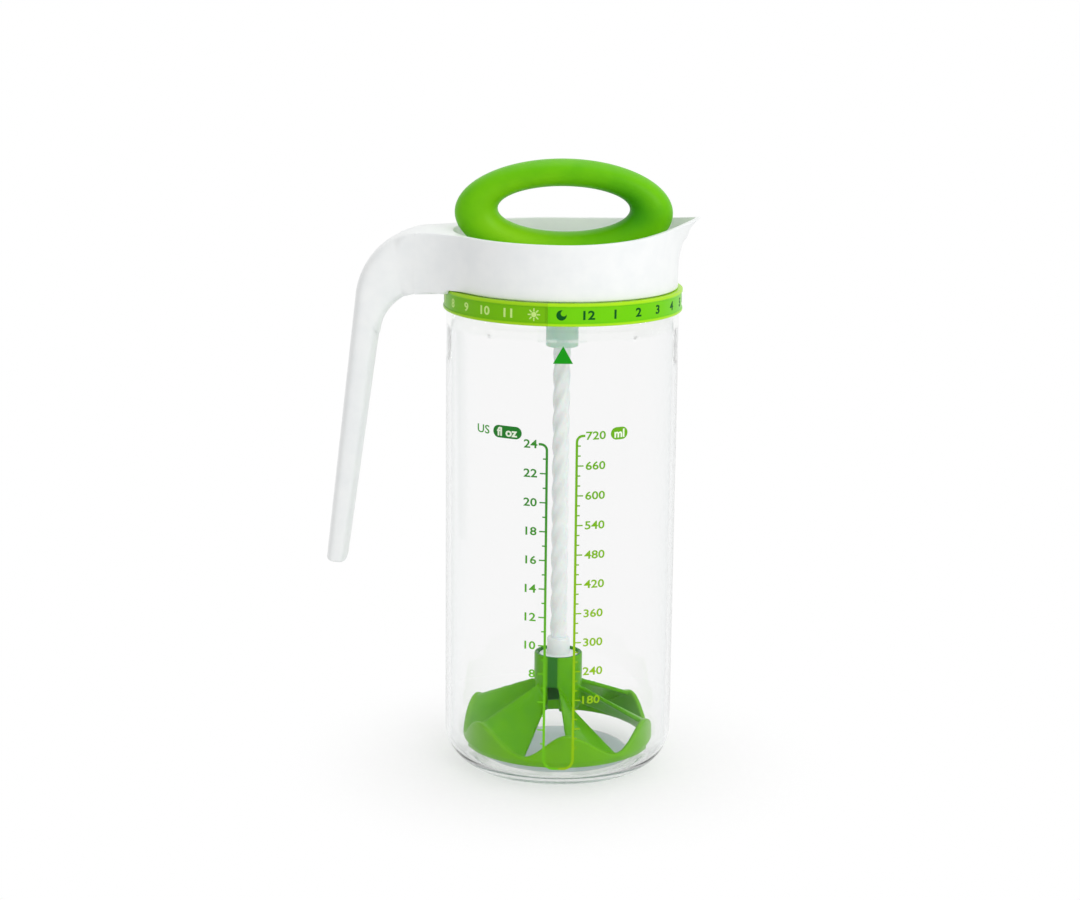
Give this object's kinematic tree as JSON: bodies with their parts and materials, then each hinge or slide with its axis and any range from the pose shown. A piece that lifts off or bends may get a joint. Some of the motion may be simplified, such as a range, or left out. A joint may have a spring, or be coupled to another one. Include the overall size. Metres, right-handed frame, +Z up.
{
  "type": "baby formula mixing pitcher",
  "caption": "Clear graduated pitcher with a hook-handled pouring lid, a turning time ring and a push-down plunger that spins a bladed mixer.",
  "frame": {"origin": "centre of the jar's flat base", "axes": "+Z up, +X towards the pouring lip, -X towards the handle, -Y towards the graduated front"},
  "size_m": [0.1394, 0.0894, 0.2328],
  "materials": {
    "jar_clear": "clear polished",
    "ink_dark_green": "printed ink",
    "ink_lime": "printed ink",
    "ink_green": "printed ink",
    "ring_day": "satin",
    "ring_night": "satin",
    "lid_white": "satin",
    "seal_silicone": "matte",
    "nut_milky": "translucent",
    "shaft_white": "milky satin",
    "plunger_green": "satin",
    "mixer_green": "semi-gloss"
  },
  "bodies": {
    "jar": {"jar_body": "jar_clear", "jar_neck": "jar_clear", "fl_oz_scale": "ink_dark_green", "ml_scale": "ink_lime", "fl_oz_badge": "ink_dark_green", "ml_badge": "ink_lime", "time_pointer": "ink_green"},
    "tracking_ring": {"ring_day_half": "ring_day", "ring_night_half": "ring_night"},
    "lid": {"lid_collar": "lid_white", "lid_handle": "lid_white", "lid_deck": "lid_white", "lid_gasket": "seal_silicone", "shaft_guide_nut": "nut_milky", "shaft_wiper": "seal_silicone"},
    "plunger": {"plunger_loop": "plunger_green", "swivel_cap": "plunger_green", "swivel_washer": "shaft_white"},
    "shaft": {"shaft_head": "shaft_white", "twist_shaft": "shaft_white", "shaft_foot": "shaft_white", "mixer": "mixer_green"}
  },
  "joints": [
    {"name": "ring_turn", "type": "hinge", "parent": "jar", "child": "tracking_ring", "pos_m": [0, 0, 0.1815], "axis": [0, 0, 1], "continuous": true},
    {"name": "lid_lift", "type": "slide", "parent": "jar", "child": "lid", "axis": [0, 0, 1], "range_m": [0, 0.2]},
    {"name": "plunger_slide", "type": "slide", "parent": "lid", "child": "plunger", "axis": [0, 0, 1], "range_m": [0, 0.1]},
    {"name": "shaft_spin", "type": "hinge", "parent": "plunger", "child": "shaft", "pos_m": [0, 0, 0.19], "axis": [0, 0, 1], "range_deg": [0, 1012]}
  ],
  "couplings": [
    {"joint": "shaft_spin", "follows": "plunger_slide", "rad_per_m": 176.49}
  ]
}
